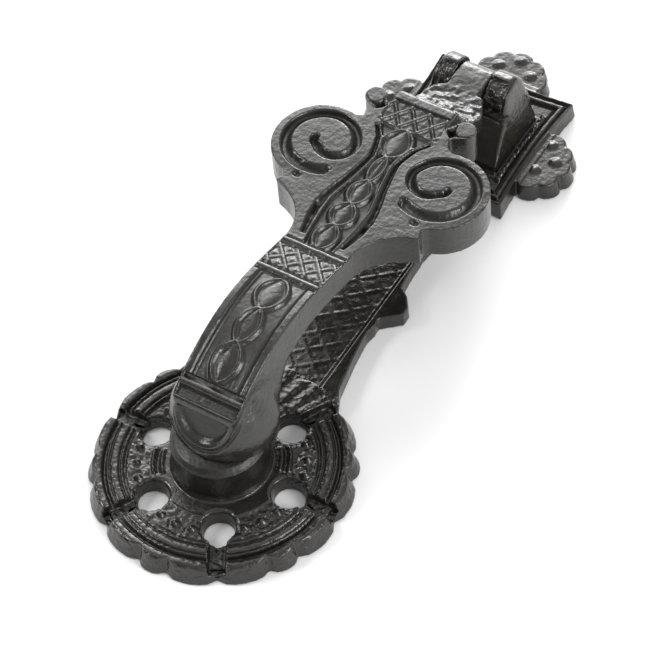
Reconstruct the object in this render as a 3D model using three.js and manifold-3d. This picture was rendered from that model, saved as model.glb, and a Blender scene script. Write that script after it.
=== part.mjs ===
// Hinged cast-iron door knocker, lying on its back: a back plate, a hammer arm and the hinge pin between them.
// Millimetres. +Z points out of the door, +Y runs from the striker towards the hinge, and the origin is on
// the flat back face under the middle of the striker boss.
import * as THREE from "three";
import { mergeVertices } from "three/addons/utils/BufferGeometryUtils.js";
import Module from "manifold-3d";

// Driving dimensions
const GAP = 0.3; // clearance between pieces
const PLATE_TOP = 5.6; // height of the flat fields of the back plate

const ROSETTE_R = 37.7; // lobe peaks at the door face
const ROSETTE_CUSP_R = 35.8;
const ROSETTE_DRAFT = 0.945; // size of the top face over the size of the foot
const SECTORS = 6;
const LOBE_EDGES = [-30, -6.8, 6.8, 30]; // degrees from the middle of a sector: a small lobe between two wide ones
const HOLE_CIRCLE_R = 21.5;
const HOLE_R = 4.15; // at the door face
const HOLE_RIM_R = 5;
const GROOVE_WIDTH = 4.6;
const GROOVE_FLOOR = 2.6;
const RING_GROOVE_R = 32.3;

const BOSS_R = 13.3;
const BOSS_TOP = 18.2;
const DISH_R = 18.9; // shallow dish round the foot of the boss

const PLATE_Y = 137.9; // middle of the hinge plate
const HINGE_Y = 141.4;
const HINGE_Z = 20.5;
const PLATE_HALF = 23.2; // half the side of the hinge plate at its corners
const PLATE_HOLLOW = 1.3; // how far each side curves in
const FAN_R = 12.6;
const FAN_REACH = [35, 36.2]; // from the hinge plate's middle to the crest of a side fan and of the top fan
const SIDE_FAN_SHIFT = -1.2; // the side fans sit a little nearer the striker than the plate's middle

const PIN_R = 3;
const PIN_HALF = 11.6;
const HOOD_R = 7.4;
const HOOD_CORE_R = 5.8; // rough metal inside the sunken front quarter of a hood
const HOOD_INNER_X = 5.6;
const HOOD_LIP_X = 12.4;
const EAR_OUTER_X = 15.2; // at the foot
const EAR_TOP_X = 13.8;
const EAR_FOOT = [123.8, 151.2]; // the y of an ear's foot, front and back

const HEAD_TOP = 39.2;
const HEAD_BOTTOM = 28;
const LEVER_HALF = 10;
const LOBE_X = 19.4; // middle of a scroll
const LOBE_Y = 87.5;
const LOBE_R = 14.1;
const SCROLL_Y = 88.2;
const SCROLL_START = 236; // degrees from +X, from the rim of the lobe inwards
const SCROLL_END = 722;
const HAMMER_Y = 4.2;
const HAMMER_R = 13.4; // at the foot, front to back
const HAMMER_WIDEN = 1.12; // how much wider the foot is from side to side
const HEEL_BACK = 24; // y where the hammer's back has become the lever
const NOSE_TOP = [-4.7, 34.1]; // y and z where the lever's top turns down into the hammer face
const KNUCKLE_R = 6.2;
const BLOCK_HALF = 9.4; // half width of the hatched block and of the knuckle's root
const CARVING_DEPTH = 1.4;

const wasm = await Module();
wasm.setup();
const { Manifold, Mesh } = wasm;

function solid(geometry) {
  const bare = geometry.clone();
  bare.deleteAttribute("normal");
  bare.deleteAttribute("uv");
  const merged = mergeVertices(bare, 1e-4);
  return new Manifold(
    new Mesh({
      numProp: 3,
      vertProperties: merged.attributes.position.array,
      triVerts: new Uint32Array(merged.index.array),
    }),
  );
}

function geometryOf(body) {
  const mesh = body.getMesh();
  const geometry = new THREE.BufferGeometry();
  geometry.setAttribute("position", new THREE.BufferAttribute(mesh.vertProperties, 3));
  geometry.setIndex(new THREE.BufferAttribute(mesh.triVerts, 1));
  geometry.computeVertexNormals();
  return geometry;
}

const joined = (bodies) => bodies.reduce((whole, body) => whole.add(body));
const radians = THREE.MathUtils.degToRad;

// A plan outline pulled up from `low` to `high`, its top face shrunk by `draft` about the point (cx, cy).
function prism(shape, low, high, { draft = 1, cx = 0, cy = 0, segments = 8 } = {}) {
  const geometry = new THREE.ExtrudeGeometry(shape, {
    depth: high - low,
    bevelEnabled: false,
    curveSegments: segments,
  });
  const p = geometry.attributes.position;
  for (let i = 0; i < p.count; i++) {
    const k = p.getZ(i) > (high - low) / 2 ? draft : 1;
    p.setXYZ(i, cx + (p.getX(i) - cx) * k, cy + (p.getY(i) - cy) * k, p.getZ(i) + low);
  }
  return solid(geometry);
}

// A side outline, drawn as (y, z), pulled across from x = `left` to x = `right`.
function slab(shape, left, right, segments = 8) {
  const geometry = new THREE.ExtrudeGeometry(shape, {
    depth: right - left,
    bevelEnabled: false,
    curveSegments: segments,
  });
  const turn = new THREE.Matrix4().makeBasis(
    new THREE.Vector3(0, 1, 0),
    new THREE.Vector3(0, 0, 1),
    new THREE.Vector3(1, 0, 0),
  );
  geometry.applyMatrix4(turn);
  geometry.translate(left, 0, 0);
  return solid(geometry);
}

// A turned solid about the Z axis at (x, y), from a profile of [radius, z] that starts and ends on the axis.
function turned(profile, x = 0, y = 0, segments = 48) {
  const geometry = new THREE.LatheGeometry(profile.map(([r, z]) => new THREE.Vector2(r, z)), segments);
  geometry.rotateX(Math.PI / 2);
  geometry.translate(x, y, 0);
  return solid(geometry);
}

// A rod along X on the hinge axis.
function hingeRod(r, left, right, segments = 32) {
  const geometry = new THREE.CylinderGeometry(r, r, right - left, segments);
  geometry.rotateZ(Math.PI / 2);
  geometry.translate((left + right) / 2, HINGE_Y, HINGE_Z);
  return solid(geometry);
}

function block(x0, x1, y0, y1, z0, z1) {
  const geometry = new THREE.BoxGeometry(x1 - x0, y1 - y0, z1 - z0);
  geometry.translate((x0 + x1) / 2, (y0 + y1) / 2, (z0 + z1) / 2);
  return solid(geometry);
}

const mirroredX = (body) => body.mirror([1, 0, 0]);

// --- Back plate ---

// A scalloped edge around (cx, 0): between two cusp angles the radius swells from cuspR to peakR and back.
function scallops(shape, edges, cuspR, peakR, cx = 0) {
  const steps = 6;
  const point = (degrees, r) => [cx + r * Math.cos(radians(degrees)), r * Math.sin(radians(degrees))];
  shape.moveTo(...point(edges[0], cuspR));
  edges.slice(1).forEach((end, i) => {
    for (let step = 1; step <= steps; step++) {
      const t = step / steps;
      const swell = Math.sqrt(Math.max(Math.sin(Math.PI * t), 0));
      shape.lineTo(...point(edges[i] + (end - edges[i]) * t, cuspR + (peakR - cuspR) * swell));
    }
  });
}

function rosette() {
  const shape = new THREE.Shape();
  const edges = [];
  for (let sector = 0; sector < SECTORS; sector++) {
    for (const edge of LOBE_EDGES.slice(sector ? 1 : 0)) edges.push((sector + 0.5) * (360 / SECTORS) + edge);
  }
  scallops(shape, edges, ROSETTE_CUSP_R, ROSETTE_R);
  return prism(shape, 0, PLATE_TOP, { draft: ROSETTE_DRAFT });
}

function strikerBoss() {
  return turned([
    [0, 1],
    [BOSS_R + 0.7, 1],
    [BOSS_R + 0.7, PLATE_TOP],
    [BOSS_R + 0.2, PLATE_TOP + 1],
    [BOSS_R, BOSS_TOP - 0.8],
    [BOSS_R - 0.8, BOSS_TOP],
    [0, BOSS_TOP],
  ]);
}

function rosetteCuts() {
  const cuts = [];
  for (let i = 0; i < SECTORS; i++) {
    const angle = radians((i * 360) / SECTORS);
    const x = HOLE_CIRCLE_R * Math.cos(angle);
    const y = HOLE_CIRCLE_R * Math.sin(angle);
    cuts.push(turned([[0, -1], [HOLE_R, -1], [HOLE_R, 0], [HOLE_RIM_R, PLATE_TOP], [HOLE_RIM_R, 9], [0, 9]], x, y, 24));
    const groove = new THREE.BoxGeometry(22, GROOVE_WIDTH, 6);
    groove.translate(HOLE_CIRCLE_R + 11, 0, GROOVE_FLOOR + 3);
    groove.rotateZ(angle);
    cuts.push(solid(groove));
  }
  const ring = (r, width, floor) => {
    const inner = r - width / 2;
    const outer = r + width / 2;
    return turned([[inner, 9], [inner, floor], [outer, floor], [outer, 9], [inner, 9]], 0, 0, 72);
  };
  cuts.push(ring(RING_GROOVE_R, 1.3, PLATE_TOP - 1));
  cuts.push(ring(RING_GROOVE_R - 4.4, 0.8, PLATE_TOP - 0.7));
  cuts.push(ring((BOSS_R + 0.7 + DISH_R) / 2, DISH_R - BOSS_R - 0.7, PLATE_TOP - 0.6));
  return joined(cuts);
}

function neck() {
  const half = [
    [18.4, 24],
    [18, 31.5],
    [15.8, 36],
    [13.4, 48],
    [12.3, 56.5],
    [12.9, 60],
    [12.6, 62.5],
    [18.2, 67.4],
    [18, 70.5],
    [15.6, 74],
    [12.6, 75.8],
    [11.8, 82],
    [11.4, 90],
    [13, 104],
    [18, 116],
    [18, 119],
  ];
  const shape = new THREE.Shape();
  half.forEach(([x, y], i) => (i ? shape.lineTo(x, y) : shape.moveTo(x, y)));
  [...half].reverse().forEach(([x, y]) => shape.lineTo(-x, y));
  return prism(shape, 0, PLATE_TOP - 0.6, { draft: 0.985, cy: 74 });
}

function hingePlate() {
  const h = PLATE_HALF;
  const b = PLATE_HALF - 2 * PLATE_HOLLOW;
  const shape = new THREE.Shape();
  shape.moveTo(-h, PLATE_Y - h);
  shape.quadraticCurveTo(0, PLATE_Y - b, h, PLATE_Y - h);
  shape.quadraticCurveTo(b, PLATE_Y, h, PLATE_Y + h);
  shape.quadraticCurveTo(0, PLATE_Y + b, -h, PLATE_Y + h);
  shape.quadraticCurveTo(-b, PLATE_Y, -h, PLATE_Y - h);
  const plate = prism(shape, 0, PLATE_TOP + 0.4, { draft: 0.975, cy: PLATE_Y });
  const field = block(-19, 19, PLATE_Y - 19, PLATE_Y + 19, PLATE_TOP - 0.6, 9);
  const ledge = block(-20.2, 20.2, PLATE_Y - 20.2, PLATE_Y + 20.2, PLATE_TOP, 9);
  return plate.subtract(field).subtract(ledge);
}

// A half-round fan with five scallops, on the side of the hinge plate that faces `turn` degrees from +X.
function fan(turn, reach, shift = 0) {
  const shape = new THREE.Shape();
  const foot = reach - FAN_R;
  const root = foot - 6;
  scallops(shape, [-90, -54, -18, 18, 54, 90], FAN_R - 1.4, FAN_R, foot);
  shape.lineTo(root, FAN_R - 1.4);
  shape.lineTo(root, 1.4 - FAN_R);
  return prism(shape, 0, PLATE_TOP - 0.2, { draft: 0.93, cx: root })
    .rotate([0, 0, turn])
    .translate([0, PLATE_Y + shift, 0]);
}

// An ear stands beside the knuckle, and its top curls over the pin as a hood whose front quarter is sunken.
function ear() {
  const side = new THREE.Shape();
  side.moveTo(EAR_FOOT[0], PLATE_TOP - 1.5);
  side.lineTo(EAR_FOOT[1], PLATE_TOP - 1.5);
  side.absarc(HINGE_Y, HINGE_Z, HOOD_R, radians(-8), radians(200), false);
  const front = new THREE.Shape([
    new THREE.Vector2(0, 0),
    new THREE.Vector2(EAR_OUTER_X + 1, 0),
    new THREE.Vector2(EAR_OUTER_X, PLATE_TOP),
    new THREE.Vector2(EAR_TOP_X, HINGE_Z),
    new THREE.Vector2(EAR_TOP_X - 1.2, HINGE_Z + HOOD_R + 1),
    new THREE.Vector2(0, HINGE_Z + HOOD_R + 1),
  ]);
  const drafted = new THREE.ExtrudeGeometry(front, { depth: 60, bevelEnabled: false });
  drafted.rotateX(Math.PI / 2);
  drafted.translate(0, EAR_FOOT[1] + 9, 0);
  const quarter = block(0, HOOD_LIP_X, HINGE_Y - 12, HINGE_Y, HINGE_Z - 1, HINGE_Z + 12);
  return slab(side, HOOD_INNER_X, EAR_OUTER_X)
    .intersect(solid(drafted))
    .subtract(quarter.subtract(hingeRod(HOOD_CORE_R, -1, 20)))
    .subtract(hingeRod(PIN_R + GAP, 0, PIN_HALF + GAP));
}

function backPlate() {
  const castings = [rosette(), strikerBoss(), neck(), hingePlate()];
  castings.push(fan(0, FAN_REACH[0], SIDE_FAN_SHIFT));
  castings.push(fan(180, FAN_REACH[0], SIDE_FAN_SHIFT));
  castings.push(fan(90, FAN_REACH[1]));
  castings.push(ear(), mirroredX(ear()));
  return joined(castings).subtract(rosetteCuts());
}

// --- Knocker arm ---

// The arm from the side: hammer face, bowed lever, flat head and the knuckle around the hinge axis.
function sideOutline() {
  const shape = new THREE.Shape();
  const bottom = BOSS_TOP + GAP;
  shape.moveTo(-9.6, bottom);
  shape.lineTo(18.6, bottom);
  shape.bezierCurveTo(19.6, 26, 21.5, 33.6, 33, 33.6);
  shape.bezierCurveTo(46, 33, 54, HEAD_BOTTOM, 68, HEAD_BOTTOM);
  shape.lineTo(114, HEAD_BOTTOM);
  shape.bezierCurveTo(119, 27, 124, 19.5, 131, 18.6);
  shape.bezierCurveTo(135, 18, 136, HINGE_Z - KNUCKLE_R, HINGE_Y, HINGE_Z - KNUCKLE_R);
  shape.absarc(HINGE_Y, HINGE_Z, KNUCKLE_R, -Math.PI / 2, radians(95), false);
  shape.bezierCurveTo(138, 27, 131, 25.8, 126, 27);
  shape.bezierCurveTo(121, 28.4, 118, 33, 115.8, HEAD_TOP - 0.9);
  shape.lineTo(114.6, HEAD_TOP);
  shape.lineTo(55, HEAD_TOP);
  shape.bezierCurveTo(46, 41.4, 36, 44.4, 26, 44.4);
  shape.bezierCurveTo(14, 44.4, 4, 40, ...NOSE_TOP);
  shape.lineTo(-8.4, 23);
  return shape;
}

// Half of the arm seen from the front, from the lever's end to the hinge, then closed down the middle.
function leverPlan() {
  const shape = new THREE.Shape();
  shape.moveTo(0, -12);
  shape.lineTo(LEVER_HALF, -12);
  shape.lineTo(LEVER_HALF, 54);
  shape.bezierCurveTo(9.8, 60, 13, 66.5, 23, 69.7);
  shape.lineTo(22.3, 72.6);
  shape.absarc(LOBE_X, LOBE_Y, LOBE_R, radians(-72), radians(104), false);
  shape.bezierCurveTo(14, 101.4, 12.6, 103.4, 12.4, 105.6);
  shape.absarc(14.6, 110.4, 3.2, radians(-60), radians(150), false);
  shape.lineTo(BLOCK_HALF, 108.4);
  shape.lineTo(BLOCK_HALF, 117);
  shape.quadraticCurveTo(BLOCK_HALF + 1.2, 124, BLOCK_HALF + 0.4, 128);
  shape.lineTo(BLOCK_HALF - 2, 133.2);
  shape.lineTo(HOOD_INNER_X - GAP, 133.6);
  shape.lineTo(HOOD_INNER_X - GAP, 150);
  shape.lineTo(0, 150);
  return shape;
}

// One scroll groove: a band of even width round the lobe, which then drops quickly to a small curl in the middle.
function scrollGroove() {
  const steps = 44;
  const halfWidth = 1.25;
  const side = (offset) =>
    Array.from({ length: steps + 1 }, (_, i) => {
      const angle = SCROLL_START + ((SCROLL_END - SCROLL_START) * i) / steps;
      const ring = 10.3 + 1.4 * Math.exp((SCROLL_START - angle) / 60);
      const r = ring + (2.4 - ring) * THREE.MathUtils.smoothstep(angle, 520, 650) + offset;
      return new THREE.Vector2(LOBE_X + r * Math.cos(radians(angle)), SCROLL_Y + r * Math.sin(radians(angle)));
    });
  const shape = new THREE.Shape([...side(halfWidth), ...side(-halfWidth).reverse()]);
  return prism(shape, HEAD_TOP - CARVING_DEPTH, HEAD_TOP + 2);
}

function carving() {
  const cuts = [scrollGroove(), mirroredX(scrollGroove())];
  const sideGroove = new THREE.Shape();
  sideGroove.moveTo(7.2, 59);
  sideGroove.quadraticCurveTo(7.4, 72, 5.2, 82);
  sideGroove.quadraticCurveTo(3.8, 91, 9, 100.6);
  sideGroove.lineTo(7.9, 101.2);
  sideGroove.quadraticCurveTo(2.6, 91, 4.2, 82);
  sideGroove.quadraticCurveTo(6.2, 72, 5.9, 59);
  const groove = prism(sideGroove, HEAD_TOP - CARVING_DEPTH, HEAD_TOP + 2);
  cuts.push(groove, mirroredX(groove));
  return joined(cuts);
}

// The turned foot of the hammer, which lands on the boss.
function hammerFoot() {
  const bottom = BOSS_TOP + GAP;
  const profile = [[0, bottom], [HAMMER_R, bottom], [14, 20.5], [14, 24], [12.4, 29], [9, 35], [0, 35]];
  return turned(profile).scale([HAMMER_WIDEN, 1, 1]).translate([0, HAMMER_Y, 0]);
}

// The lever's front view: full width above, rounded below like a letter D lying on its back.
function noseOutline() {
  const [, top] = NOSE_TOP;
  const shape = new THREE.Shape();
  shape.moveTo(LEVER_HALF, 60);
  shape.lineTo(-LEVER_HALF, 60);
  shape.lineTo(-LEVER_HALF, top);
  shape.absellipse(0, top, LEVER_HALF, top - 21.5, Math.PI, 2 * Math.PI, false);
  const geometry = new THREE.ExtrudeGeometry(shape, { depth: 32, bevelEnabled: false, curveSegments: 16 });
  geometry.rotateX(Math.PI / 2);
  geometry.translate(0, 20, 0);
  return solid(geometry);
}

// The back of the hammer: the lever's flat walls run down into it, and its corners close in on the foot.
function hammerHeel(lever) {
  const bottom = BOSS_TOP + GAP;
  const spread = turned([[0, bottom], [15.6, bottom], [19.6, 28], [25, 33], [25, 60], [0, 60]], 0, HAMMER_Y);
  return lever.intersect(block(-20, 20, HAMMER_Y, HEEL_BACK, 0, 70)).intersect(spread);
}

function knockerArm() {
  const half = prism(leverPlan(), 0, 60, { segments: 10 });
  const whole = half.add(mirroredX(half));
  const nose = whole.intersect(noseOutline());
  const rest = whole.subtract(block(-20, 20, -20, HEEL_BACK, 0, 70));
  const plan = joined([rest, nose, hammerHeel(whole), hammerFoot()]);
  const hoodSweep = hingeRod(HOOD_R + GAP, HOOD_INNER_X - GAP, 20, 40);
  const shoulders = hoodSweep.add(mirroredX(hoodSweep));
  return plan
    .intersect(slab(sideOutline(), -40, 40, 12))
    .subtract(shoulders)
    .subtract(hingeRod(PIN_R + GAP, -20, 20))
    .subtract(carving());
}

// --- Hinge pin ---

function hingePin() {
  const tip = 0.8;
  const profile = [
    [0, -PIN_HALF],
    [PIN_R - tip, -PIN_HALF],
    [PIN_R, -PIN_HALF + tip],
    [PIN_R, PIN_HALF - tip],
    [PIN_R - tip, PIN_HALF],
    [0, PIN_HALF],
  ];
  return new THREE.LatheGeometry(profile.map(([r, z]) => new THREE.Vector2(r, z)), 32);
}

// --- Assembly ---

const blackIron = { color: 0x1c1c1b, roughness: 0.38, metalness: 0.55 };
const darkSteel = { color: 0x34332f, roughness: 0.6, metalness: 0.7 };

function piece(name, geometry, finish) {
  const mesh = new THREE.Mesh(geometry, new THREE.MeshStandardMaterial(finish));
  mesh.name = name;
  return mesh;
}

const knocker = new THREE.Group();
knocker.name = "door_knocker";
knocker.add(piece("back_plate", geometryOf(backPlate()), blackIron));
knocker.add(piece("knocker_arm", geometryOf(knockerArm()), blackIron));
const pin = piece("hinge_pin", hingePin(), darkSteel);
pin.rotation.z = Math.PI / 2;
pin.position.set(0, HINGE_Y, HINGE_Z);
knocker.add(pin);

export default knocker;
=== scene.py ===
"""Hinged cast-iron door knocker lying on its back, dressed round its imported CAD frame.

Each casting starts as a copy of its CAD node. Plain closed bodies are joined to it where the casting is
fuller than the node, the whole is re-meshed finely, and the cast relief is then pressed into it by formulas
in millimetres: +Z out of the door, +Y from the striker to the hinge.
"""

import math

import bmesh
import bpy
import numpy as np
from mathutils import Matrix, Vector


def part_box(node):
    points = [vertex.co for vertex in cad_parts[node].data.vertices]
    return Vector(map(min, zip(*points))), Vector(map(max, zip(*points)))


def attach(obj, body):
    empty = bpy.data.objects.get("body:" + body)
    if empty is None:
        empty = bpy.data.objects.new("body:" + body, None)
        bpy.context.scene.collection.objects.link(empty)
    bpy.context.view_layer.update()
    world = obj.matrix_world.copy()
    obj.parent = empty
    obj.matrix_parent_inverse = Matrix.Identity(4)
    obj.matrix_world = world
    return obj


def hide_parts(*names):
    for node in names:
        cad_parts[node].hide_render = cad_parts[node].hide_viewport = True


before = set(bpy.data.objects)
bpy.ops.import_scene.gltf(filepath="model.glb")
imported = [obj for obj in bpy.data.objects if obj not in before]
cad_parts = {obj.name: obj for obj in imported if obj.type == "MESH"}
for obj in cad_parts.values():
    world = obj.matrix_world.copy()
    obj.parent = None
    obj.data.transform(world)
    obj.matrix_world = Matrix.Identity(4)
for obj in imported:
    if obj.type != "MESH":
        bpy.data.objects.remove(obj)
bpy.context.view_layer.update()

MM = 0.001
VOXEL = 0.28

# The hinge, in mm, from the pin in the frame
pin_low, pin_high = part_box("hinge_pin")
HINGE_Y = (pin_low.y + pin_high.y) / 2 / MM
HINGE_Z = (pin_low.z + pin_high.z) / 2 / MM
PIN_R = (pin_high.z - pin_low.z) / 2 / MM
PIN_END = pin_high.x / MM

# The back plate, in mm and degrees
PLATE_TOP = 5.6
SECTOR = 60.0
BOSS_R = 15.0
DISH_R = 18.9
HOLE_CIRCLE_R = 21.5
HOLE_RIM_R = 5.0
DOT_CIRCLE_R = 23.4
ROSETTE_FILL_R = 33.6
ROSETTE_R = 35.5
NECK_MIDDLE_Y = 65.7
NECK_END_Y = 114.5
PLATE_Y = 137.9
HINGE_FACE_HALF = 20.6

# The arm, in mm and degrees
WAIST_Y = 54.0
HEAD_END_Y = 115.4
HEAD_TOP = 39.2
LEVER_HALF = 9.6
LOBE_X = 19.4
LOBE_Y = 87.5
SCROLL_Y = 88.2
SCROLL_START = 236.0
SCROLL_END = 722.0
NOSE_Z = 34.1


# --- Small tools ---


def smooth(low, high, value):
    """0 below low, 1 above high, and an even ease between them."""
    t = np.clip((value - low) / (high - low), 0, 1)
    return t * t * (3 - 2 * t)


def lattice(x, y, across, along):
    """Distances in mm to the nearest line of a diamond lattice, one for each way its lines slope."""
    up = x / across + y / along
    down = x / across - y / along
    scale = math.hypot(1 / across, 1 / along)
    return np.abs(up - np.round(up)) / scale, np.abs(down - np.round(down)) / scale


def ridge(distance, half_width):
    """1 on a line and 0 past half_width from it, rounded over the top."""
    t = np.clip(np.abs(distance) / half_width, 0, 1)
    return (1 - t * t) ** 2


def noise(points, size, seed):
    """Smooth value noise from -1 to 1 with features about size mm across."""
    scaled = points / size + seed * 17.31
    cell = np.floor(scaled).astype(np.int64)
    part = scaled - cell
    part = part * part * (3 - 2 * part)
    total = np.zeros(len(points))
    for corner in np.ndindex(2, 2, 2):
        at = cell + np.array(corner)
        mixed = (at[:, 0] * 73856093) ^ (at[:, 1] * 19349663) ^ (at[:, 2] * 83492791)
        mixed = ((mixed ^ (mixed >> 13)) * 1274126177) & 0xFFFFFFFF
        value = ((mixed >> 8) & 0xFFFF) / 32767.5 - 1
        weight = np.prod(np.where(np.array(corner) == 1, part, 1 - part), axis=1)
        total += weight * value
    return total


def cast_grain(points, seed):
    """The roughness of sand-cast metal, from -1 to 1, in lumps about a millimetre across."""
    return 0.6 * noise(points, 1.1, seed) + 0.4 * noise(points, 0.55, seed + 1)


def prism(outline, low, high):
    """A closed body over a plan outline of (x, y), from z low to z high."""
    n = len(outline)
    vertices = [(x, y, low) for x, y in outline] + [(x, y, high) for x, y in outline]
    faces = [tuple(reversed(range(n))), tuple(range(n, 2 * n))]
    faces += [(i, (i + 1) % n, n + (i + 1) % n, n + i) for i in range(n)]
    return vertices, faces


def box(x0, x1, y0, y1, z0, z1):
    """A closed box between two values on each axis."""
    return prism([(x0, y0), (x1, y0), (x1, y1), (x0, y1)], z0, z1)


def disc(x, y, r, low, high, steps=48):
    """A closed round body about (x, y), from z low to z high."""
    turn = [2 * math.pi * i / steps for i in range(steps)]
    return prism([(x + r * math.cos(a), y + r * math.sin(a)) for a in turn], low, high)


def polar(r, degrees):
    """The plan point at a radius and an angle about the origin."""
    return r * math.cos(math.radians(degrees)), r * math.sin(math.radians(degrees))


def linked(name, data):
    """A new object that shows data in the scene."""
    made = bpy.data.objects.new(name, data)
    bpy.context.scene.collection.objects.link(made)
    return made


def read_shape(mesh):
    """A mesh's vertices and their normals, as rows of three."""
    points = np.empty(len(mesh.vertices) * 3)
    normals = np.empty_like(points)
    mesh.vertices.foreach_get("co", points)
    mesh.vertices.foreach_get("normal", normals)
    return points.reshape(-1, 3), normals.reshape(-1, 3)


def write_shape(mesh, points, painted_shade_amount):
    """Moves a mesh's vertices to points in mm, and keeps how much painted shade and dullness each place gets
    for its material.
    """
    mesh.vertices.foreach_set("co", (points * MM).ravel())
    # Painted shade: kept on the mesh so that the material darkens the colour by it, and dulls the gloss
    painted_shade_layer = mesh.attributes.new("painted_shade_layer", "FLOAT", "POINT")
    painted_shade_layer.data.foreach_set("value", np.clip(painted_shade_amount, 0, 1).astype(np.float32))
    mesh.update()
    mesh.shade_smooth()


def relaxed(points, edges, weight, rounds):
    """The points after so many rounds of moving each one towards its neighbours, by weight."""
    near = edges[(weight[edges[:, 0]] > 0) | (weight[edges[:, 1]] > 0)]
    count = len(points)
    ends = np.concatenate([near[:, 0], near[:, 1]])
    others = np.concatenate([near[:, 1], near[:, 0]])
    degree = np.maximum(np.bincount(ends, minlength=count), 1)
    for _ in range(rounds):
        for axis in range(3):
            mean = np.bincount(ends, points[others, axis], minlength=count) / degree
            points[:, axis] += 0.6 * weight * (mean - points[:, axis])
    return points


def casting(name, node, extra, blended, rounds, relief):
    """A copy of a CAD node with extra bodies joined on, finely re-meshed and shaped.

    blended(points) says, from 0 to 1, where flat faces and corners flow into each other.
    relief(points, normals) gives the moved points and how much painted shade and dullness each place gets.
    """
    work = bmesh.new()
    work.from_mesh(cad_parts[node].data)
    bmesh.ops.scale(work, vec=(1 / MM,) * 3, verts=work.verts)
    bmesh.ops.remove_doubles(work, verts=work.verts, dist=0.001)
    for vertices, faces in extra:
        made = [work.verts.new(v) for v in vertices]
        for face in faces:
            work.faces.new([made[i] for i in face])
    mesh = bpy.data.meshes.new(name)
    work.to_mesh(mesh)
    work.free()
    piece = linked(name, mesh)
    remesh = piece.modifiers.new("remesh", "REMESH")
    remesh.mode = "VOXEL"
    remesh.voxel_size = VOXEL
    soften = piece.modifiers.new("soften", "SMOOTH")
    soften.factor = 0.5
    soften.iterations = 12
    shaped = bpy.data.meshes.new_from_object(piece.evaluated_get(bpy.context.evaluated_depsgraph_get()))
    piece.modifiers.clear()
    piece.data = shaped
    bpy.data.meshes.remove(mesh)
    points, normals = read_shape(shaped)
    ends = np.empty(len(shaped.edges) * 2, dtype=np.int64)
    shaped.edges.foreach_get("vertices", ends)
    points = relaxed(points, ends.reshape(-1, 2), blended(points), rounds)
    write_shape(shaped, *relief(points, normals))
    return piece


# --- Back plate ---


def sector_fill(start):
    """A body that fills the rosette's face between two grooves, round the holes at their ends."""
    first = []
    for a in range(127, -1, -12):
        hole_x, hole_y = polar(HOLE_RIM_R, a)
        first.append((HOLE_CIRCLE_R + hole_x, hole_y))
    first.append((ROSETTE_FILL_R, -0.4))
    turn = Matrix.Rotation(math.radians(SECTOR), 2)
    last = [tuple(turn @ Vector((px, -py))) for px, py in reversed(first)]
    rim = [polar(ROSETTE_FILL_R, a) for a in range(2, 60, 4)]
    dish = [polar(DISH_R, a) for a in range(46, 13, -4)]
    whole = Matrix.Rotation(math.radians(start), 2)
    return prism([tuple(whole @ Vector(p)) for p in first + rim + last + dish], 2.0, PLATE_TOP)


# (radius, height above the plate's top) across the rosette's rings, grooves and rim
RINGS = [
    (0.0, 0.0),
    (18.7, 0.0),
    (19.0, -0.4),
    (19.6, -0.85),
    (26.1, -0.85),
    (26.5, -1.4),
    (27.0, -1.4),
    (27.35, -0.25),
    (27.7, -0.25),
    (28.0, -1.1),
    (28.25, -1.1),
    (28.6, -0.2),
    (29.6, -0.02),
    (30.5, -0.2),
    (30.8, -1.0),
    (31.0, -1.0),
    (31.3, -0.15),
    (31.65, -0.15),
    (31.95, -1.8),
    (32.7, -1.8),
    (33.1, -0.35),
    (34.2, -0.1),
    (35.0, -0.25),
    (36.0, -0.8),
    (38.0, -1.2),
]


def rosette_relief(x, y, rough):
    """Height above the plate's top over the rosette."""
    r = np.hypot(x, y)
    angle = np.degrees(np.arctan2(y, x)) % 360
    within = angle % SECTOR
    from_groove = r * np.sin(np.radians(np.minimum(within, SECTOR - within)))
    radii, heights = zip(*RINGS)
    height = np.interp(r, radii, heights)
    middle = (angle - within) + SECTOR / 2

    # Three dots in each sector, on the pitted field inside the rings
    pitted = smooth(19.2, 19.8, r) * (1 - smooth(25.8, 26.4, r))
    height += 0.28 * rough * pitted
    for offset in (-12.5, 0.0, 12.5):
        dx = x - DOT_CIRCLE_R * np.cos(np.radians(middle + offset))
        dy = y - DOT_CIRCLE_R * np.sin(np.radians(middle + offset))
        d = np.hypot(dx, dy)
        height += pitted * (1.2 * ridge(d, 1.3) - 0.2 * ridge(d - 1.7, 0.6))

    # Two short bars beside the boss, to its left and right
    beside = (middle == 30) | (middle == 210)
    across = np.abs(r * np.sin(np.radians(angle - middle)))
    bar = (ridge(r - DISH_R, 0.8) + ridge(r - 16.4, 0.8)) * (1 - smooth(3.6, 4.4, across))
    height += np.where(beside, 0.9 * bar - 0.5 * ridge(r - 17.6, 0.7) * (across < 4), 0)

    # The sector under the arm opens into the neck: ribs fan out over it
    to_neck = (np.abs(angle - 90) < 30) & (y > 0)
    rib = 0.5 + 0.5 * np.cos(np.radians(angle - 90) * 44)
    fan = -0.75 + 0.3 * rib * smooth(24, 27, r) + 0.08 * rough
    fan = np.where(r < 19.5, 0, fan) * (1 - smooth(35.5, 38, r))
    height = np.where(to_neck, fan, height)

    # Radial grooves and the hollow round each hole
    groove = (1 - smooth(2.0, 2.7, from_groove)) * smooth(21.0, 22.5, r)
    hole = np.abs(r * np.exp(1j * np.radians(np.minimum(within, SECTOR - within))) - HOLE_CIRCLE_R)
    shoulder = 0.25 * (1 - smooth(5.0, 5.9, hole))
    return (height - shoulder) * (1 - groove) - (3.0 - 0.35 * rough) * groove


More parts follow.
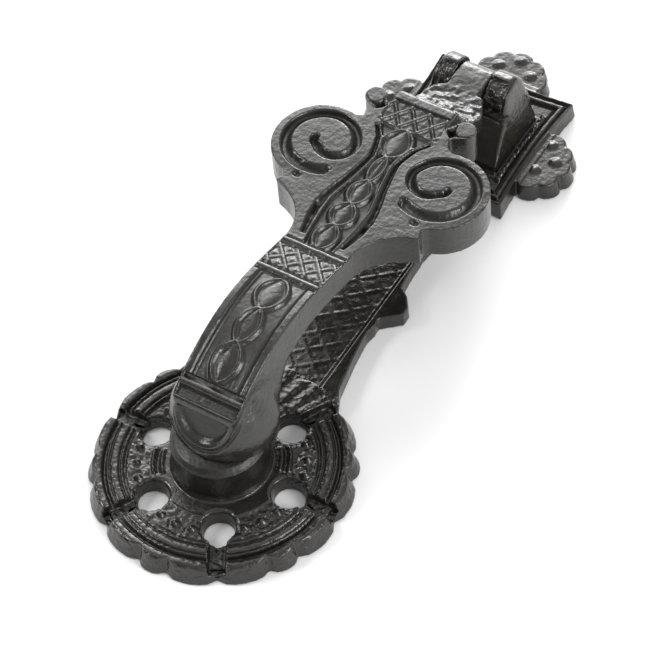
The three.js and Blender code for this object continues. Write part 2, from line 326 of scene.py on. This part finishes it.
def neck_relief(x, y, rough):
    """Lozenges between two plain borders, below the plate's top."""
    line = np.minimum(*lattice(x, y - NECK_MIDDLE_Y, 8.2, 7.2))
    lozenge = -0.7 + 0.16 * ridge(line, 1.0) + 0.08 * smooth(1.0, 2.6, line) + 0.04 * rough
    inside = 1 - smooth(9.6, 10.0, np.abs(x))
    border = -0.8 * ridge(np.abs(x) - 10.3, 0.6)
    return lozenge * inside + border


def square_relief(x, y, rough):
    """Beads and grooves round the edge of the hinge plate, with a grained strip beside each ear."""
    u = np.abs(x)
    v = np.abs(y - PLATE_Y)
    bowed_in = 1.2 * (1 - (np.minimum(u, v) / 22) ** 2)
    d = np.maximum(u, v) + bowed_in
    distance = [0, 18.4, 18.8, 19.3, 19.8, 20.7, 21.1, 21.8, 22.2, 26]
    heights = [-1.0, -1.0, -1.7, -1.7, -0.2, -0.2, -1.3, -1.3, 0.0, 0.0]
    height = np.interp(d, distance, heights)
    strip = smooth(15.8, 16.3, u) * (1 - smooth(18.3, 18.9, d)) * (1 - smooth(13.5, 15, v))
    grain = 0.5 + 0.5 * np.sin(y * 2.9 + 2.2 * rough)
    return height + strip * (0.8 + 0.6 * grain + 0.9 * rough)


def fan_relief(x, y, rough):
    """Three dots on each half-round fan, with a slightly rough field between them."""
    height = np.zeros_like(x)
    for along, across in ((24.4, -5.4), (24.4, 5.4), (28.6, 0.0)):
        beside = np.hypot(np.abs(x) - along, y - PLATE_Y - across)
        above = np.hypot(x - across, y - PLATE_Y - along - 2.6)
        height += 0.85 * ridge(np.minimum(beside, above), 2.4)
    return height - 0.25 + 0.06 * rough


def dome_boss(moved, r, z):
    """Domes the boss slightly and rounds it off at its top."""
    boss = r < BOSS_R
    moved[:, :2] *= (1 - 0.05 * smooth(16.0, 18.3, z) * boss)[:, None]
    moved[:, 2] -= 1.1 * smooth(8.5, 13.3, r) * smooth(15, 17, z) * boss


def shape_hoods(moved, points):
    """Rounds the outer ends of the hoods and slims the left ear, the narrower of the two."""
    x, y, z = points.T
    hood = (z > HINGE_Z - 2) & (y > 128) & (np.abs(x) > 5)
    end = smooth(10.6, 14.2, np.abs(x)) ** 1.5
    shrink = np.where(hood, 1 - 0.16 * end, 1)
    moved[:, 1] = HINGE_Y + (moved[:, 1] - HINGE_Y) * shrink
    moved[:, 2] = np.where(hood, HINGE_Z + (moved[:, 2] - HINGE_Z) * shrink, moved[:, 2])
    slim = smooth(5.6, 13.8, -x) * smooth(8, 18, z) * (y > 120)
    moved[:, 0] += 1.6 * slim


def hood_mouths(points, normals):
    """Where the hoods' open front quarters are, and the lumps of the rough metal in them."""
    x, y, z = points.T
    axle = np.hypot(y - HINGE_Y, z - HINGE_Z)
    raw = (axle > 5.0) & (axle < 6.7) & (y < HINGE_Y + 0.2) & (z > HINGE_Z - 1.4)
    raw = raw & (np.abs(x) > 5.8) & (np.abs(x) < 12.5) & (np.abs(normals[:, 0]) < 0.75)
    return raw, 0.6 * noise(points, 1.9, 7) + 0.4 * noise(points, 0.9, 8)


def plate_relief(points, normals):
    """The back plate's points with its relief pressed in, and how much painted shade and dullness each place
    gets.
    """
    x, y, z = points.T
    rough = cast_grain(points, 3)
    r = np.hypot(x, y)
    square = (np.abs(x) < 23.6) & (np.abs(y - PLATE_Y) < 23.6)
    in_neck = (r >= 35) & (y > 0) & (y < NECK_END_Y) & (np.abs(x) < 19)
    height = np.select(
        [r < ROSETTE_R, in_neck, square],
        [rosette_relief(x, y, rough), neck_relief(x, y, rough), square_relief(x, y, rough)],
        fan_relief(x, y, rough),
    )
    height = np.where((r >= ROSETTE_R) & (y < 33), -0.35, height)

    # The boss and the ears keep their height: only what lies low is pressed
    height = height * (1 - smooth(6.6, 7.4, z)) * smooth(BOSS_R, BOSS_R + 0.6, r)
    moved = points.copy()
    moved[:, 2] = z * (1 + height / PLATE_TOP)

    dome_boss(moved, r, z)
    shape_hoods(moved, points)
    raw, lumps = hood_mouths(points, normals)
    moved += normals * np.where(raw, 0.45 + 0.8 * lumps, 0)[:, None]
    height = np.where(raw, lumps - 0.4, height)

    # Cast skin: an uneven surface everywhere, coarser on the rosette
    skin = 0.05 * noise(points, 3.1, 5) + 0.035 * noise(points, 1.3, 6)
    skin += np.where((r < 37) & (r > 19) & (z > 2), 0.15 * rough, 0)
    skin *= np.where(z < 1.0, 0, 1)
    moved += normals * skin[:, None]
    moved[:, 2] = np.maximum(moved[:, 2], 0)
    # Painted shade: the deeper a place lies, the darker its colour is painted and the duller it is; the
    # whole boss is painted darkest, as shade under the arm's foot
    painted_shade_amount = np.where(z > 3, -height / 2.2, 0)
    return moved, np.where((r < BOSS_R) & (z > 7), 1, painted_shade_amount)


# The rosette's six sectors and the hinge plate's inner square, filled up to be pressed
plate_extra = [sector_fill(SECTOR * i) for i in range(6)]
square_low = PLATE_Y - HINGE_FACE_HALF
square_high = PLATE_Y + HINGE_FACE_HALF
plate_extra.append(box(-HINGE_FACE_HALF, HINGE_FACE_HALF, square_low, square_high, 3.0, PLATE_TOP + 0.35))


def ear_blend(points):
    """The ears' outer corners are well rounded, most of all over the hoods."""
    x, y, z = points.T
    return 0.9 * smooth(9.5, 12.5, np.abs(x)) * smooth(7.5, 11, z) * smooth(118, 122, y)


back_plate = casting("back_plate_cast", "back_plate", plate_extra, ear_blend, 36, plate_relief)


# --- Knocker arm ---


def spiral_distance(x, y):
    """Distance outwards from the scroll line, and from 0 to 1 how far along it that is.

    The line is mirrored about the arm's middle.
    """
    # Round the lobe at first, then in towards its middle
    a = np.linspace(SCROLL_START, SCROLL_END, 260)
    t = (a - SCROLL_START) / (SCROLL_END - SCROLL_START)
    ring = 10.3 + 1.4 * np.exp((SCROLL_START - a) / 60)
    r = ring + (2.4 - ring) * smooth(520, 650, a)
    turn = np.radians(a)
    line = np.stack([r * np.cos(turn), r * np.sin(turn)], 1)
    from_middle = np.stack([np.abs(x) - LOBE_X, y - SCROLL_Y], 1)
    best = np.full(len(x), 99.0)
    along = np.zeros(len(x))
    near = np.nonzero(np.hypot(*from_middle.T) < 15)[0]
    for at, point in zip(t, line):
        gap = from_middle[near] - point
        d = np.hypot(*gap.T) * np.where(gap @ point > 0, 1, -1)
        closer = np.abs(d) < np.abs(best[near])
        best[near[closer]] = d[closer]
        along[near[closer]] = at
    return best, along


def strip_half(y):
    """Half width of the interlaced strip between the scrolls."""
    return np.interp(
        y,
        [54, 60, 66, 71, 75, 80, 83, 87, 90, 93, 97, 100, 103],
        [5.4, 6.2, 6.7, 6.9, 6.2, 5.0, 4.5, 3.9, 3.6, 4.3, 5.6, 7.8, 9.6],
    )


def interlace(x, y, crossings, widths):
    """Two ridges that cross at each y in crossings and swing out between them by widths."""
    height = np.zeros_like(x)
    for low, high, width in zip(crossings[:-1], crossings[1:], widths):
        t = np.clip((y - low) / (high - low), 0, 1)
        bow = np.maximum(np.sin(np.pi * t), 1e-6)
        swing = width * bow**0.6
        slope = 0.6 * width * np.pi / (high - low) * bow**-0.4 * np.cos(np.pi * t)
        inside = (y >= low) & (y <= high)
        line = ridge((np.abs(x) - swing) / np.hypot(1, np.clip(slope, -1.8, 1.8)), 1.15)
        dome = np.clip(1 - (x / np.maximum(swing - 0.7, 0.1)) ** 2, 0, 1)
        eye = 0.8 * dome * smooth(0, 0.3, t * (1 - t) * 4)
        height = np.where(inside, np.maximum(line, eye), height)
    return height


# Where the interlaced lines cross, along y, and how wide they swing between the crossings
HEAD_CROSSINGS = [53.6, 63.2, 71.9, 81.3, 91.3, 102.6]
HEAD_SWINGS = [3.4, 3.6, 3.2, 1.9, 4.4]
LEVER_CROSSINGS = [2.2, 13.6, 25.2, 37.2]
LEVER_SWINGS = [3.7, 3.2, 4.2]


def head_relief(x, y, rough):
    """Depth below the head's flat top."""
    u = np.abs(x)
    distance, along = spiral_distance(x, y)
    width = 1 - 0.3 * along
    outer_wall = 1 - smooth(0.5, 1.5, distance / width)
    inner_wall = 1 - smooth(0.2, 2.6, -distance / width)
    cut = outer_wall * inner_wall
    scroll = -1.9 * cut + 0.25 * rough * ridge(cut - 0.45, 0.4) * (distance < 0)
    dome = -0.25 * smooth(10.0, 13.8, np.hypot(u - LOBE_X, y - LOBE_Y))

    # The interlaced strip between the scrolls, with a gutter down each side
    half = strip_half(y)
    side = (y > 56.5) & (y < 101)
    breadth = np.interp(y, [56, 64, 74, 90, 101], [0.8, 1.5, 1.25, 0.85, 0.65])
    gutter = -(1.5 + 0.4 * rough) * ridge((u - half - breadth + 0.3) / breadth, 1.0) * side
    border = -0.1 * ridge(u - half + 0.6, 0.6)
    within = (u < half - 0.4) & (y > 54.2) & (y < 102.4)
    strip = -1.3 + 1.2 * interlace(x, y, HEAD_CROSSINGS, HEAD_SWINGS)
    strip = strip * (1 - ridge(u - half + 0.7, 0.8))
    height = np.where(within, strip, np.minimum(scroll, gutter) + dome + border)

    # A leaf tip cut beside the foot of the strip, a small pit on each lobe and the curls of the horns
    pit = ridge(np.hypot(u - 19.0, (y - 74.1) * 1.3), 1.7)
    leaf = ridge((u - 8.2) - 0.35 * (y - 66.5), 0.8) * ridge(y - 66.5, 3.2)
    height -= 1.1 * pit + 0.9 * leaf
    curl_x = u - 14.6
    curl_y = y - 110.4
    curl = ridge(np.hypot(curl_x, curl_y) - 3.9, 1.5) * smooth(-1.5, 0.5, -(curl_x * 0.64 + curl_y * 0.77))
    height -= 2.4 * curl * (y < 111)

    # Hatched block between the horns, with a rounded bar behind it
    block = (y > 102.8) & (u < 9.5)
    line = np.minimum(*lattice(x, y - 106.9, 5.7, 7.8))
    lozenge = -0.85 + 0.8 * ridge(line, 0.8) + 0.35 * smooth(0.6, 2.6, line)
    hatch = np.where(y > 111.4, -0.1 - 1.1 * ridge(y - 111.6, 0.5), lozenge)
    return np.where(block, hatch, height) + 0.07 * rough


def lever_relief(x, y, rough):
    """Depth below the lever's bowed top."""
    u = np.abs(x)
    chain = interlace(x, y, LEVER_CROSSINGS, LEVER_SWINGS)
    panel = np.interp(u, [0, 6.3, 6.9, 7.3, 7.8, 10], [-1.1, -1.0, -0.35, -1.3, -0.1, 0])
    height = panel + 1.05 * chain * (u < 6.2)

    # Leaf relief between two cross bars
    between = (y > 38.2) & (y < WAIST_Y)
    first, second = lattice(x, y - 46, 5.8, 6.6)
    pad = smooth(0.5, 2.2, np.minimum(first, second))
    leaf = -0.9 + 0.7 * np.maximum(ridge(first, 1.15), 0.6 * ridge(second, 0.9)) + 0.4 * pad
    height = np.where(between, leaf, height)
    on_top = 1 - smooth(LEVER_HALF, LEVER_HALF + 0.5, u)
    height *= on_top
    for bar in (39.4, 52.4):
        height = np.where(np.abs(y - bar) < 2.1, -1.25 + 1.25 * ridge(y - bar, 1.7) ** 0.6, height)

    # Two bars at the striking end
    front = (y < 1.6) & (y > -7)
    bars = -1.3 + 1.3 * np.maximum(ridge(y + 0.5, 1.6), ridge(y + 4.9, 1.7))
    height = np.where(front, bars * on_top, height)
    return height + 0.04 * rough


def panel_relief(x, z):
    """Depth below the striking face: a sunken D panel with a raised rim."""
    across = x / 9.4
    down = (NOSE_Z - 1.4 - z) / 10.6
    d = np.sqrt(across**2 + np.clip(down, 0, 9) ** 2)
    sunk = -1.7 * (1 - smooth(0.74, 0.9, d)) * smooth(0.0, 0.14, down)
    lip = 0.35 * ridge(d - 0.96, 0.08) * smooth(0.05, 0.2, down) - 0.4 * ridge(d - 1.09, 0.06)
    return sunk + lip


def arm_relief(points, normals):
    """The arm's points with its relief pressed in, and how much painted shade and dullness each place gets.
    """
    x, y, z = points.T
    rough = cast_grain(points, 13)
    nz = normals[:, 2]
    head = (y >= WAIST_Y) & (y < HEAD_END_Y) & (z > 36)
    lever = (y < WAIST_Y) & (z > 31)
    height = np.where(head, head_relief(x, y, rough), 0)
    height = np.where(lever, lever_relief(x, y, rough), height)
    height *= smooth(0.25, 0.6, nz)

    # The steep striking face
    ny = normals[:, 1]
    face = (y < 0) & (z < NOSE_Z + 0.4) & (ny < -0.3) & (z > 20) & (np.abs(x) < 10.4)
    height = np.where(face, panel_relief(x, z) * smooth(0.3, 0.6, -ny), height)

    # Pitted metal on the front of the knuckle
    knuckle = (y > 115.0) & (z > 22) & (nz > 0.05)
    pits = smooth(HEAD_END_Y, 117, y) * (1 - smooth(130, 137, y))
    pitted = 0.45 * noise(points, 2.0, 15) + 0.55 * noise(points, 1.05, 16)
    height = np.where(knuckle, (0.1 + 0.5 * pits) * (pitted - 0.2), height)

    # Cast skin: shallower on the walls than on top
    skin = 0.05 * noise(points, 3.4, 17) + 0.025 * noise(points, 1.7, 18)
    skin *= 0.25 + 0.75 * smooth(0.3, 0.8, nz)
    moved = points + normals * (height + skin)[:, None]
    # Painted shade: the deeper a place lies below the surface, the darker its colour is painted and the
    # duller it is
    return moved, -height / 1.6


# The two lobes and the head between them, filled up to one flat top
arm_extra = [
    disc(LOBE_X, LOBE_Y, 13.2, 36.0, HEAD_TOP),
    disc(-LOBE_X, LOBE_Y, 13.2, 36.0, HEAD_TOP),
    box(-9.0, 9.0, 58.0, 102.0, 36.0, HEAD_TOP),
]


def hammer_blend(points):
    """The lever's walls flow into the turned foot below them."""
    x, y, z = points.T
    under = smooth(18.9, 20.5, z) * (1 - smooth(30, 35, z)) * (1 - smooth(22, 27, y))
    return 0.9 * under * smooth(-9.5, -6.0, y + 0.25 * np.abs(x))


knocker_arm = casting("knocker_arm_cast", "knocker_arm", arm_extra, hammer_blend, 160, arm_relief)


# --- Hinge pin ---


def rough_pin(steps=140, around=72):
    """The pin, worn and slightly uneven, with rounded ends."""
    pin = bmesh.new()
    rings = []
    for i in range(steps + 1):
        px = -PIN_END + 2 * PIN_END * i / steps
        r = (PIN_R - 0.05) * (1 - 0.3 * smooth(PIN_END - 0.6, PIN_END, abs(px)))
        turn = [2 * math.pi * j / around for j in range(around)]
        ring = [(px, HINGE_Y - r * math.cos(a), HINGE_Z + r * math.sin(a)) for a in turn]
        rings.append([pin.verts.new(point) for point in ring])
    for first, second in zip(rings[:-1], rings[1:]):
        for j in range(around):
            k = (j + 1) % around
            pin.faces.new((first[j], first[k], second[k], second[j]))
    pin.faces.new(list(reversed(rings[0])))
    pin.faces.new(rings[-1])
    bmesh.ops.recalc_face_normals(pin, faces=pin.faces)
    mesh = bpy.data.meshes.new("hinge_pin_rough")
    pin.to_mesh(mesh)
    pin.free()
    points, normals = read_shape(mesh)
    lumps = 0.03 * noise(points, 1.7, 21) + 0.02 * noise(points, 0.9, 22) - 0.05
    # Painted shade: the pin's colour is darkened a little all over and more in its low spots, which are
    # duller too
    write_shape(mesh, points + normals * lumps[:, None], 0.3 - lumps)
    return linked("hinge_pin_rough", mesh)


hinge_pin = rough_pin()


# --- Materials ---


def iron(name, base, warm, roughness, peel, peel_depth):
    """Dark iron or steel with an uneven skin, duller in the hollows, where painted shade darkens its colour
    and browns it a little.

    roughness holds the lowest and the highest value. The pebbles are peel mm wide and peel_depth mm deep.
    """
    material = bpy.data.materials.new(name)
    material.use_nodes = True
    nodes = material.node_tree.nodes
    links = material.node_tree.links
    shader = nodes["Principled BSDF"]
    shader.inputs["Metallic"].default_value = 0.0
    shader.inputs["IOR"].default_value = 1.55
    where = nodes.new("ShaderNodeTexCoord")

    def spots(size, detail):
        """A noise with features about size metres across."""
        node = nodes.new("ShaderNodeTexNoise")
        node.inputs["Scale"].default_value = 1 / size
        node.inputs["Detail"].default_value = detail
        links.new(where.outputs["Object"], node.inputs["Vector"])
        return node.outputs["Fac"]

    # The amount of painted shade and dullness that each place of the mesh carries
    painted_shade_amount = nodes.new("ShaderNodeAttribute")
    painted_shade_amount.attribute_name = "painted_shade_layer"

    tint = nodes.new("ShaderNodeValToRGB")
    tint.color_ramp.elements[0].position = 0.35
    tint.color_ramp.elements[0].color = (*base, 1)
    tint.color_ramp.elements[1].position = 0.75
    tint.color_ramp.elements[1].color = (*warm, 1)
    links.new(spots(6.0 * MM, 4), tint.inputs["Fac"])

    # Painted shade: the colour is multiplied darker and a little browner by that amount, in the recesses and
    # over the boss
    painted_shade_tint = nodes.new("ShaderNodeMix")
    painted_shade_tint.data_type = "RGBA"
    painted_shade_tint.blend_type = "MULTIPLY"
    painted_shade_tint.inputs["B"].default_value = (0.35, 0.31, 0.28, 1)
    links.new(painted_shade_amount.outputs["Fac"], painted_shade_tint.inputs["Factor"])
    links.new(tint.outputs["Color"], painted_shade_tint.inputs["A"])
    links.new(painted_shade_tint.outputs["Result"], shader.inputs["Base Color"])

    gloss = nodes.new("ShaderNodeMapRange")
    gloss.inputs["From Min"].default_value = 0.3
    gloss.inputs["From Max"].default_value = 0.7
    gloss.inputs["To Min"].default_value = roughness[0]
    gloss.inputs["To Max"].default_value = roughness[1]
    links.new(spots(3.0 * MM, 3), gloss.inputs["Value"])
    duller = nodes.new("ShaderNodeMath")
    duller.operation = "MULTIPLY_ADD"
    duller.inputs[1].default_value = 0.2
    links.new(painted_shade_amount.outputs["Fac"], duller.inputs[0])
    links.new(gloss.outputs["Result"], duller.inputs[2])
    links.new(duller.outputs["Value"], shader.inputs["Roughness"])

    coarse = nodes.new("ShaderNodeBump")
    coarse.inputs["Strength"].default_value = 0.8
    coarse.inputs["Distance"].default_value = peel_depth * MM
    links.new(spots(peel * MM, 3), coarse.inputs["Height"])
    fine = nodes.new("ShaderNodeBump")
    fine.inputs["Strength"].default_value = 0.25
    fine.inputs["Distance"].default_value = peel_depth * 0.25 * MM
    links.new(spots(peel * 0.25 * MM, 2), fine.inputs["Height"])
    links.new(coarse.outputs["Normal"], fine.inputs["Normal"])
    links.new(fine.outputs["Normal"], shader.inputs["Normal"])
    return material


plate_iron = iron("plate_black_iron", (0.011, 0.010, 0.0085), (0.020, 0.017, 0.014), (0.14, 0.26), 1.2, 0.20)
arm_iron = iron("arm_black_iron", (0.013, 0.012, 0.0105), (0.022, 0.021, 0.020), (0.17, 0.28), 1.25, 0.19)
pin_iron = iron("pin_rough_steel", (0.018, 0.017, 0.016), (0.040, 0.036, 0.030), (0.28, 0.50), 0.8, 0.14)

for piece, material, body, node, slot in (
    (back_plate, plate_iron, "plate", "back_plate", "black_iron"),
    (knocker_arm, arm_iron, "arm", "knocker_arm", "arm_iron"),
    (hinge_pin, pin_iron, "plate", "hinge_pin", "pin_steel"),
):
    piece.data.materials.clear()
    piece.data.materials.append(material)
    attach(piece, body)
    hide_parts(node)


# --- Floor, light and camera ---


MIDDLE = Vector((0.0, 70.0, 20.0)) * MM
ROOM_LIGHT = 0.2


def pale_floor(half):
    """A matt white floor just below the object, half metres from its middle to each side."""
    mesh = bpy.data.meshes.new("floor")
    corners = [(-half, -half, 0), (half, -half, 0), (half, half, 0), (-half, half, 0)]
    mesh.from_pydata(corners, [], [(0, 1, 2, 3)])
    material = bpy.data.materials.new("floor_white")
    material.use_nodes = True
    shader = material.node_tree.nodes["Principled BSDF"]
    shader.inputs["Base Color"].default_value = (0.9, 0.9, 0.9, 1)
    shader.inputs["Roughness"].default_value = 0.8
    mesh.materials.append(material)
    floor = linked("floor", mesh)
    floor.location = (0, MIDDLE.y, -0.3 * MM)
    return floor


pale_floor(3.0)

world = bpy.data.worlds.new("studio")
world.use_nodes = True
bpy.context.scene.world = world
bpy.context.scene.view_settings.view_transform = "Standard"


def glow(low, high, direction, amount):
    """Light from round a direction: none where the cosine to it is low, and amount where it is high."""
    nodes = world.node_tree.nodes
    links = world.node_tree.links
    where = nodes.new("ShaderNodeTexCoord")
    cosine = nodes.new("ShaderNodeVectorMath")
    cosine.operation = "DOT_PRODUCT"
    cosine.inputs[1].default_value = Vector(direction).normalized()
    links.new(where.outputs["Generated"], cosine.inputs[0])
    ease = nodes.new("ShaderNodeMapRange")
    ease.interpolation_type = "SMOOTHSTEP"
    ease.inputs["From Min"].default_value = low
    ease.inputs["From Max"].default_value = high
    ease.inputs["To Max"].default_value = amount
    links.new(cosine.outputs["Value"], ease.inputs["Value"])
    return ease.outputs["Result"]


def studio_glow():
    """A white studio wall low behind the object, soft light above it and to the right, and a dim room."""
    nodes = world.node_tree.nodes
    links = world.node_tree.links
    total = None
    for light in (
        glow(0.80, 0.985, (-0.545, 0.750, 0.375), 5.0),
        glow(0.95, 0.99, (-0.22, 0.30, 0.93), 1.2),
        glow(0.30, 0.95, (-0.30, 0.40, 0.87), 0.35),
        glow(-0.3, 0.9, (0.95, -0.20, 0.10), 0.6),
    ):
        plus = nodes.new("ShaderNodeMath")
        plus.operation = "ADD"
        if total is None:
            plus.inputs[0].default_value = ROOM_LIGHT
        else:
            links.new(total, plus.inputs[0])
        links.new(light, plus.inputs[1])
        total = plus.outputs["Value"]
    nodes["Background"].inputs["Color"].default_value = (1, 1, 1, 1)
    links.new(total, nodes["Background"].inputs["Strength"])


studio_glow()


def direction_of(azimuth, elevation):
    """The unit vector at an azimuth from +Y towards +X and an elevation above the floor, in degrees."""
    a = math.radians(azimuth)
    e = math.radians(elevation)
    return Vector((math.sin(a) * math.cos(e), math.cos(a) * math.cos(e), math.sin(e)))


def softbox(name, azimuth, elevation, distance, size, power):
    """A square area light that faces the object's middle from a direction."""
    data = bpy.data.lights.new(name, "AREA")
    data.shape = "SQUARE"
    data.size = size
    data.energy = power
    light = linked(name, data)
    offset = direction_of(azimuth, elevation) * distance
    light.location = MIDDLE + offset
    light.rotation_euler = (-offset).to_track_quat("-Z", "Y").to_euler()


softbox("right_softbox", 95, 26, 1.1, 0.45, 8.0)
softbox("back_softbox", -20, 16, 1.3, 0.5, 6.0)
softbox("left_softbox", -115, 42, 1.1, 0.35, 5.0)

CAMERA_TARGET = Vector((-2.406, 57.552, 0.0)) * MM
CAMERA_DISTANCE = 771.54 * MM
CAMERA_AZIMUTH = -35.8285
CAMERA_ELEVATION = 51.7626
CAMERA_ROLL = -5.6929
CAMERA_LENS = 149.63


def aim_camera():
    """The scene's camera: it looks down along the arm, from the striker's end towards the hinge."""
    forward = direction_of(CAMERA_AZIMUTH, -CAMERA_ELEVATION)
    azimuth = math.radians(CAMERA_AZIMUTH)
    roll = math.radians(CAMERA_ROLL)
    right = Vector((math.cos(azimuth), -math.sin(azimuth), 0))
    up = right.cross(forward)
    tilted_right = right * math.cos(roll) + up * math.sin(roll)
    tilted_up = up * math.cos(roll) - right * math.sin(roll)
    data = bpy.data.cameras.new("camera")
    data.lens = CAMERA_LENS
    data.sensor_width = 36
    camera = linked("camera", data)
    rotation = Matrix((tilted_right, tilted_up, -forward)).transposed().to_4x4()
    camera.matrix_world = Matrix.Translation(CAMERA_TARGET - forward * CAMERA_DISTANCE) @ rotation
    bpy.context.scene.camera = camera


aim_camera()
